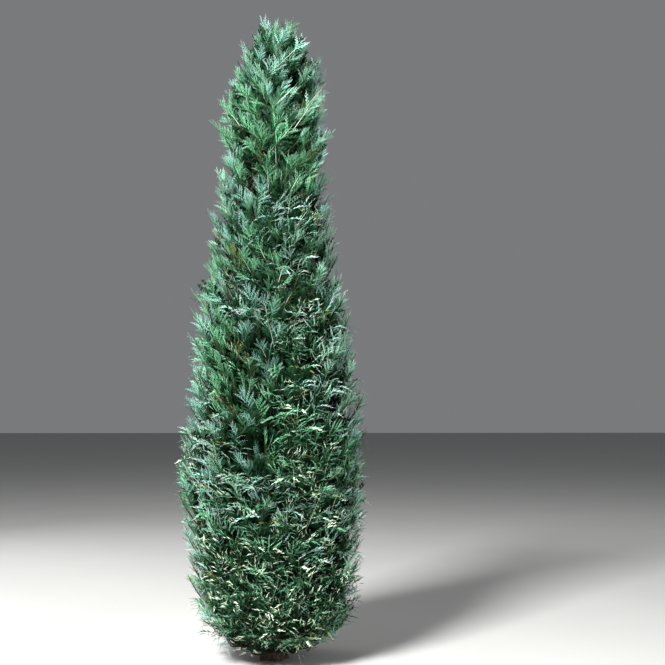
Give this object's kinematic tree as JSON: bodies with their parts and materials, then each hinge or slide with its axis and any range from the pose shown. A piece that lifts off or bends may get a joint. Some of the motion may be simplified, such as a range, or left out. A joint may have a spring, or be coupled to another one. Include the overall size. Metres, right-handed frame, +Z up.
{
  "type": "columnar cypress tree",
  "caption": "Whole columnar false cypress: a flared trunk, steep boughs and closed masses of flat upright sprays from the ground to a blunt tip.",
  "frame": {"origin": "middle of the flat cut under the trunk, at ground level", "axes": "+Z up along the trunk, -Y the side that the picture shows, +X to the right in it"},
  "size_m": [1.3173, 1.3005, 4.4283],
  "materials": {
    "bark": "matte",
    "foliage_glaucous": "matte",
    "foliage_green": "matte",
    "foliage_deep": "matte"
  },
  "bodies": {
    "root": {"bough_1_1": "bark", "bough_1_2": "bark", "bough_1_3": "bark", "bough_1_4": "bark", "bough_1_5": "bark", "bough_2_1": "bark", "bough_2_2": "bark", "bough_2_3": "bark", "bough_2_4": "bark", "bough_2_5": "bark", "bough_3_1": "bark", "bough_3_2": "bark", "bough_3_3": "bark", "bough_3_4": "bark", "bough_3_5": "bark", "bough_4_1": "bark", "bough_4_2": "bark", "bough_4_3": "bark", "bough_4_4": "bark", "bough_4_5": "bark", "bough_5_1": "bark", "bough_5_2": "bark", "bough_5_3": "bark", "bough_5_4": "bark", "bough_6_1": "bark", "bough_6_2": "bark", "bough_6_3": "bark", "bough_6_4": "bark", "foliage_1_1": "foliage_glaucous", "foliage_1_2": "foliage_green", "foliage_1_3": "foliage_deep", "foliage_1_4": "foliage_glaucous", "foliage_1_5": "foliage_green", "foliage_2_1": "foliage_deep", "foliage_2_2": "foliage_glaucous", "foliage_2_3": "foliage_green", "foliage_2_4": "foliage_deep", "foliage_2_5": "foliage_glaucous", "foliage_3_1": "foliage_green", "foliage_3_2": "foliage_deep", "foliage_3_3": "foliage_glaucous", "foliage_3_4": "foliage_green", "foliage_3_5": "foliage_deep", "foliage_4_1": "foliage_glaucous", "foliage_4_2": "foliage_green", "foliage_4_3": "foliage_deep", "foliage_4_4": "foliage_glaucous", "foliage_4_5": "foliage_green", "foliage_5_1": "foliage_deep", "foliage_5_2": "foliage_glaucous", "foliage_5_3": "foliage_green", "foliage_5_4": "foliage_deep", "foliage_6_1": "foliage_glaucous", "foliage_6_2": "foliage_green", "foliage_6_3": "foliage_deep", "foliage_6_4": "foliage_glaucous", "foliage_top": "foliage_green", "trunk": "bark"}
  },
  "joints": []
}
